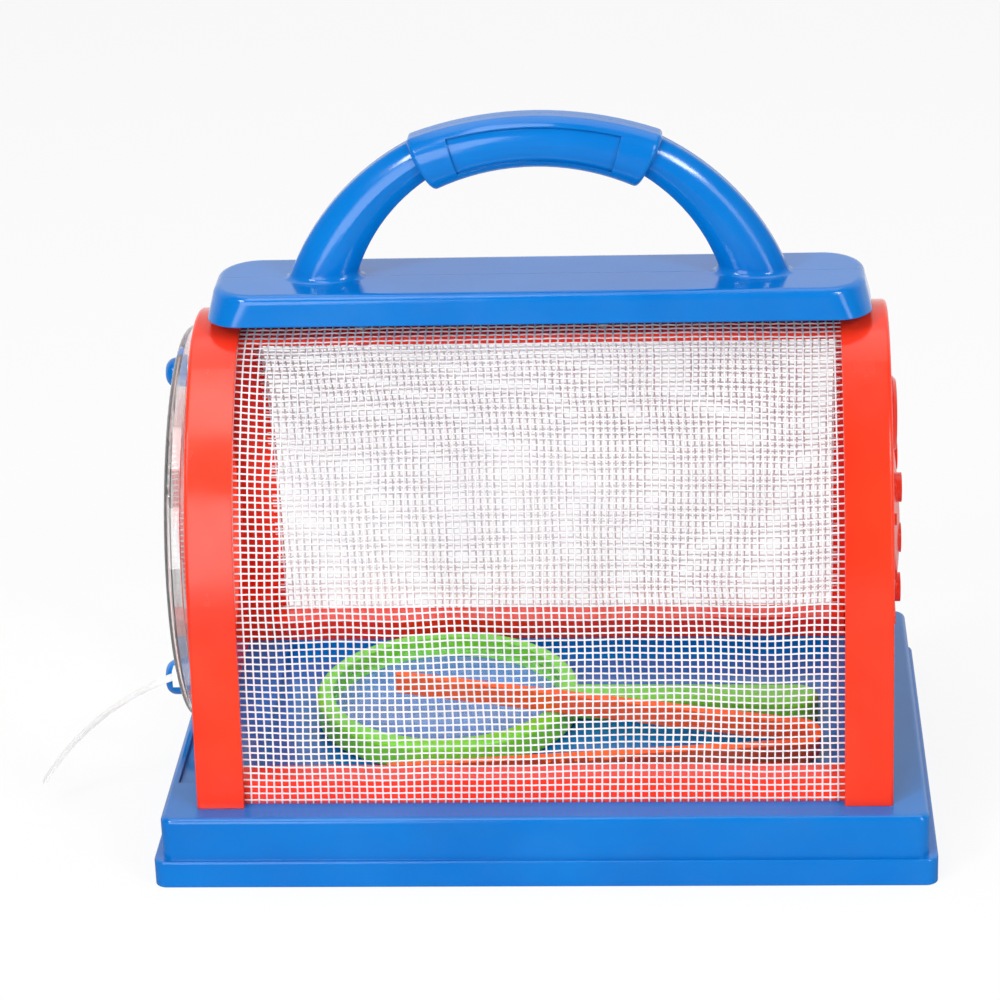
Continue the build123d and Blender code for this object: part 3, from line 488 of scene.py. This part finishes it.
def makeFloor():
    material, tree, shader, place = newMaterial("studio_paper_white")
    setInputs(tree, shader, {"Base Color": fromHex(stage["floor"]), "Roughness": stage["floorRough"]})
    ray = addNode(tree, "ShaderNodeLightPath")
    direct = addNode(tree, "ShaderNodeMath", {
        0: ray.outputs["Is Camera Ray"], 1: ray.outputs["Is Transmission Ray"]}, operation="MAXIMUM")
    seen = addNode(tree, "ShaderNodeMath", {
        0: direct.outputs[0], 1: ray.outputs["Is Glossy Ray"]}, operation="MAXIMUM")
    share = addNode(tree, "ShaderNodeMath", {0: seen.outputs[0], 1: stage["glow"]}, operation="MULTIPLY")
    level = mirrored(tree, place, ray, stage["floorFront"], stage["floorBack"], stage["fullLight"])
    glow = addNode(tree, "ShaderNodeEmission", {"Color": (1, 1, 1, 1), "Strength": level})
    paper = addNode(tree, "ShaderNodeMixShader", {
        "Fac": share.outputs[0], 1: shader.outputs["BSDF"], 2: glow.outputs["Emission"]})
    under = addNode(tree, "ShaderNodeNewGeometry").outputs["Backfacing"]  # from below the paper is not there
    gone = addNode(tree, "ShaderNodeBsdfTransparent")
    surface = addNode(tree, "ShaderNodeMixShader", {
        "Fac": under, 1: paper.outputs["Shader"], 2: gone.outputs["BSDF"]})
    tree.links.new(surface.outputs["Shader"], tree.nodes["Material Output"].inputs["Surface"])
    half = stage["floorSize"] / 2
    mesh = bpy.data.meshes.new("floor")
    corners = [(-half, -half), (half, -half), (half, half), (-half, half)]
    mesh.from_pydata([(x, y, stage["floorZ"]) for x, y in corners], [], [(0, 1, 2, 3)])
    mesh.materials.append(material)
    floor = bpy.data.objects.new("floor", mesh)
    bpy.context.scene.collection.objects.link(floor)


def makeSky():
    world = bpy.data.worlds.new("studio")
    bpy.context.scene.world = world
    world.use_nodes = True
    tree = world.node_tree
    ray = addNode(tree, "ShaderNodeLightPath")
    direct = addNode(tree, "ShaderNodeMath", {
        0: ray.outputs["Is Camera Ray"], 1: ray.outputs["Is Transmission Ray"]}, operation="MAXIMUM")
    plain = addNode(tree, "ShaderNodeMapRange", {
        "Value": direct.outputs[0], "To Min": stage["skyLight"], "To Max": stage["fullLight"]})
    facing = addNode(tree, "ShaderNodeTexCoord").outputs["Generated"]
    level = mirrored(tree, facing, ray, stage["skyFront"], stage["skyBack"], plain.outputs["Result"])
    setInputs(tree, tree.nodes["Background"], {"Color": (1, 1, 1, 1), "Strength": level})


makeFloor()
makeSky()

# A big softbox front left in a low and a high panel, small ones high on each side for narrow highlights,
# a strip on the right for the edges, and one overhead
softboxes = {
    "frontLeft": {"place": (-0.42, -1.0, 0.32), "size": (0.6, 0.69), "watts": 4.8},
    "frontLeftTop": {"place": (-0.26, -0.62, 1.41), "size": (0.45, 0.63), "watts": 3.6},
    "highLeft": {"place": (-0.75, -0.85, 1.0), "size": (0.26, 0.26), "watts": 5.4},
    "highRight": {"place": (0.85, -0.85, 1.0), "size": (0.26, 0.26), "watts": 5.4},
    "rightStrip": {"place": (0.85, -0.75, 0.45), "size": (0.22, 0.9), "watts": 2.0},
    "overhead": {"place": (0.0, 0.15, 1.3), "size": (1.2, 0.8), "watts": 4.0},
}
for name, box in softboxes.items():
    lamp = bpy.data.lights.new(name, "AREA")
    lamp.shape = "RECTANGLE"
    lamp.size, lamp.size_y = box["size"]
    lamp.energy = box["watts"]
    holder = bpy.data.objects.new(name, lamp)
    holder.location = box["place"]
    aim = Vector(stage["aimAt"]) - holder.location
    holder.rotation_mode = "QUATERNION"
    holder.rotation_quaternion = aim.to_track_quat("-Z", "Y")
    bpy.context.scene.collection.objects.link(holder)
print("floor, sky and", len(softboxes), "softboxes set")

# Camera at the photograph's place: metres, degrees of roll, and millimetres for lens and sensor
shot = {
    "place": (0.0481, -0.9237, 0.4832), "forward": (-0.0608, 0.9178, -0.3924), "roll": -2.05,
    "lens": 125.31, "sensor": 36,
}
forward = Vector(shot["forward"]).normalized()
right = forward.cross(Vector((0, 0, 1))).normalized()
up = right.cross(forward)
roll = radians(shot["roll"])
right, up = right * cos(roll) + up * sin(roll), up * cos(roll) - right * sin(roll)
lens = bpy.data.cameras.new("photo_camera")
lens.lens = shot["lens"]
lens.sensor_width = shot["sensor"]
camera = bpy.data.objects.new("photo_camera", lens)
bpy.context.scene.collection.objects.link(camera)
turned = Matrix((right, up, -forward)).transposed().to_4x4()
camera.matrix_world = Matrix.Translation(shot["place"]) @ turned
bpy.context.scene.camera = camera
bpy.context.scene.view_settings.view_transform = "Standard"

print("done")
